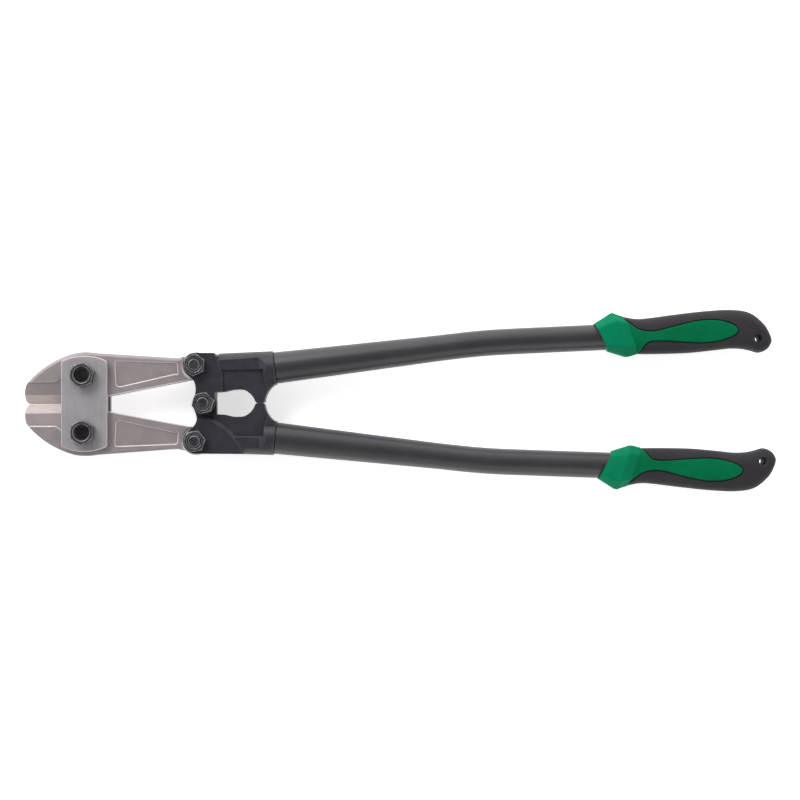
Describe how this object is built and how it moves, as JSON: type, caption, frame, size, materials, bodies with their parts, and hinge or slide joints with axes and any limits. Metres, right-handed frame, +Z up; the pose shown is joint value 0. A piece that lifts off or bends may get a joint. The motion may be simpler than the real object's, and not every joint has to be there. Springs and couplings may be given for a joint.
{
  "type": "bolt cutters",
  "caption": "Compound-action bolt cutters: steel jaws between bolted side plates, forged toggle links, flared tube handles and two-tone moulded grips.",
  "frame": {"origin": "centre of the closed tool's footprint, on the surface that the blade bolt heads rest on", "axes": "+X from the jaws to the grips, +Y across towards the upper handle, +Z up from the surface, along the pivot bolts"},
  "size_m": [0.6098, 0.1481, 0.0422],
  "materials": {
    "blade_steel": "bead-blasted forged steel with ground cutting bevels",
    "plate_steel": "satin steel plate with ground edges",
    "forging_paint": "semi-gloss dark grey paint over a forging",
    "tube_paint": "satin dark grey enamel",
    "grip_rubber": "matt dark grey moulded rubber",
    "guard_rubber": "matt green moulded rubber",
    "black_fastener": "oiled black oxide"
  },
  "bodies": {
    "head": {"front_head_plate": "plate_steel", "rear_head_plate": "plate_steel", "upper_blade_bolt": "black_fastener", "lower_blade_bolt": "black_fastener", "upper_blade_nut": "black_fastener", "lower_blade_nut": "black_fastener"},
    "lower_blade": {"lower_blade": "blade_steel"},
    "lower_handle": {"lower_handle_forging": "forging_paint", "lower_handle_tube": "tube_paint", "lower_grip": "grip_rubber", "lower_grip_guard": "guard_rubber", "lower_link_bolt": "black_fastener", "lower_link_nut": "black_fastener"},
    "upper_handle": {"upper_handle_forging": "forging_paint", "upper_handle_tube": "tube_paint", "upper_grip": "grip_rubber", "upper_grip_guard": "guard_rubber", "upper_link_bolt": "black_fastener", "upper_link_nut": "black_fastener", "centre_bolt": "black_fastener", "centre_nut": "black_fastener"},
    "upper_blade": {"upper_blade": "blade_steel"}
  },
  "joints": [
    {"name": "handle_pivot", "type": "hinge", "parent": "lower_handle", "child": "upper_handle", "pos_m": [-0.1589, 0, 0.01985], "axis": [0, 0, 1], "range_deg": [0, 90]},
    {"name": "lower_blade_pivot", "type": "hinge", "parent": "head", "child": "lower_blade", "pos_m": [-0.256, -0.0233, 0.01985], "axis": [0, 0, 1], "range_deg": [0, 8.83]},
    {"name": "lower_link_pivot", "type": "hinge", "parent": "lower_blade", "child": "lower_handle", "pos_m": [-0.1658, -0.0309, 0.01985], "axis": [0, 0, 1], "range_deg": [-53.83, 0]},
    {"name": "upper_link_pivot", "type": "hinge", "parent": "upper_handle", "child": "upper_blade", "pos_m": [-0.1658, 0.0309, 0.01985], "axis": [0, 0, 1], "range_deg": [-53.83, 0]}
  ],
  "couplings": [
    {"joint": "lower_blade_pivot", "follows": "handle_pivot", "ratio": 0.098064},
    {"joint": "lower_link_pivot", "follows": "handle_pivot", "ratio": -0.59806},
    {"joint": "upper_link_pivot", "follows": "handle_pivot", "ratio": -0.59806}
  ]
}
